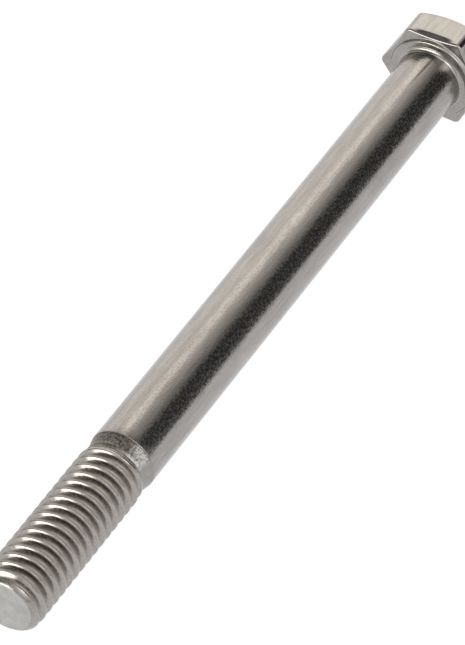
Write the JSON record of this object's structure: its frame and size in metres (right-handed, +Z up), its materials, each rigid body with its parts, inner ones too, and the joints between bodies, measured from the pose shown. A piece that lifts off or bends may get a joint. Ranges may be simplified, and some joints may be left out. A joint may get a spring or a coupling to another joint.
{
  "type": "hex bolt",
  "caption": "Long hex head bolt, plain shank and a rolled thread at the end, for clamping parts together through a clearance hole.",
  "frame": {"origin": "centre of the bearing face, the flat washer face under the head, on the bolt's axis", "axes": "+X along the bolt's axis from the point to the head, so the shank lies along -X; +Z up, square to the level wrench flats"},
  "size_m": [0.1198, 0.016, 0.0142],
  "materials": {
    "forged_steel": "satin stainless steel, pickled grey with a fine grain along the shank",
    "rolled_thread": "burnished by the thread rolls, smoother and darker than the shank"
  },
  "bodies": {
    "root": {"hex_head": "forged_steel", "washer_face": "forged_steel", "shank": "forged_steel", "neck": "forged_steel", "thread": "rolled_thread", "point": "forged_steel"}
  },
  "joints": []
}
